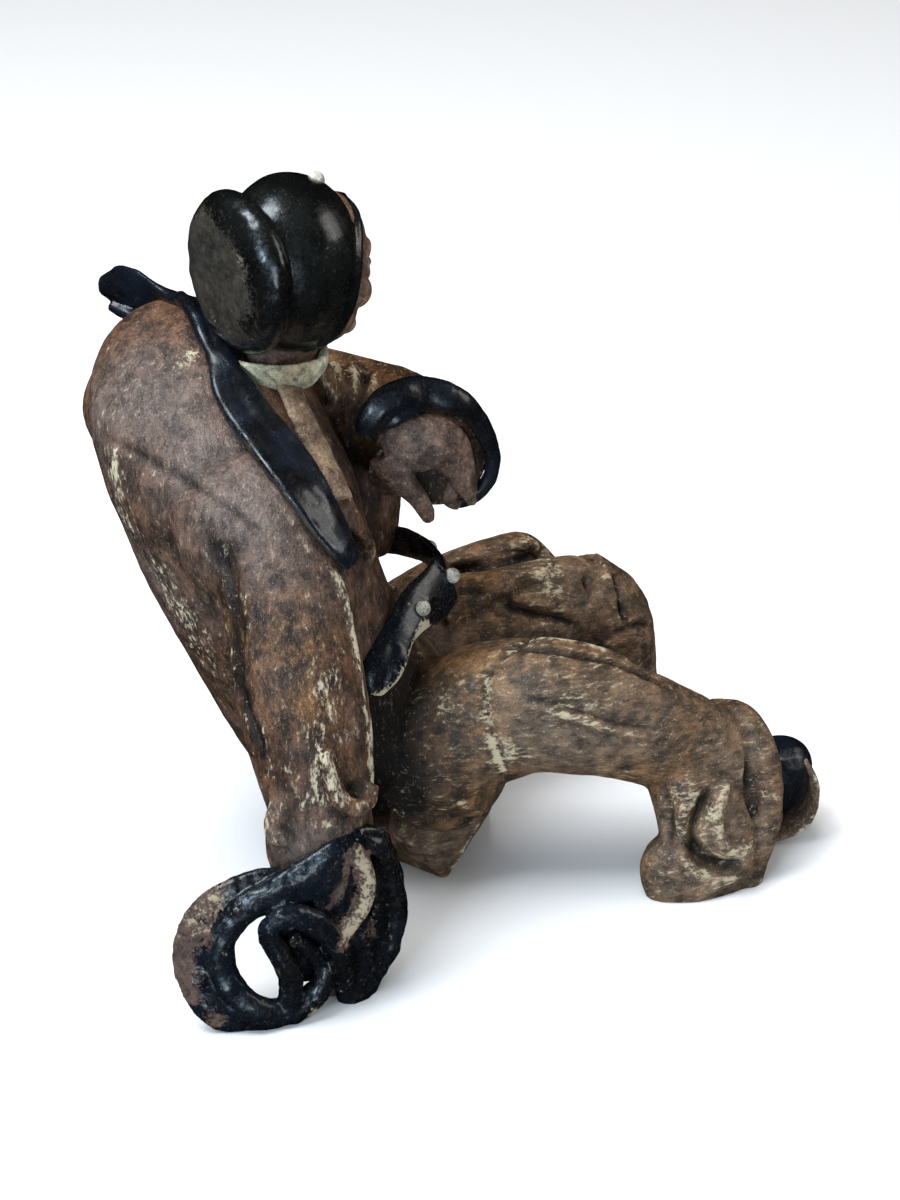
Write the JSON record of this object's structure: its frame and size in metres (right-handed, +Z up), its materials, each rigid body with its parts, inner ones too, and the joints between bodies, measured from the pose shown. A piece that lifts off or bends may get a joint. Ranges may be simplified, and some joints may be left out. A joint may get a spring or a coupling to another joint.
{
  "type": "terracotta sage figure",
  "caption": "Seated robed sage in slipped and part-glazed terracotta, leaning back on one arm with knees raised, a bare calm face under a round black cap.",
  "frame": {"origin": "on the ground plane, under the middle of the figure's bounding box", "axes": "+Z up; the figure faces -Y and its own left is +X"},
  "size_m": [0.1202, 0.1838, 0.1903],
  "materials": {
    "terracotta": "fired terracotta under brown slip, with black glaze on cap, collar band, cuffs, belt and boots, and pale worn scuffs"
  },
  "bodies": {
    "root": {"sage_figure": "terracotta"}
  },
  "joints": []
}
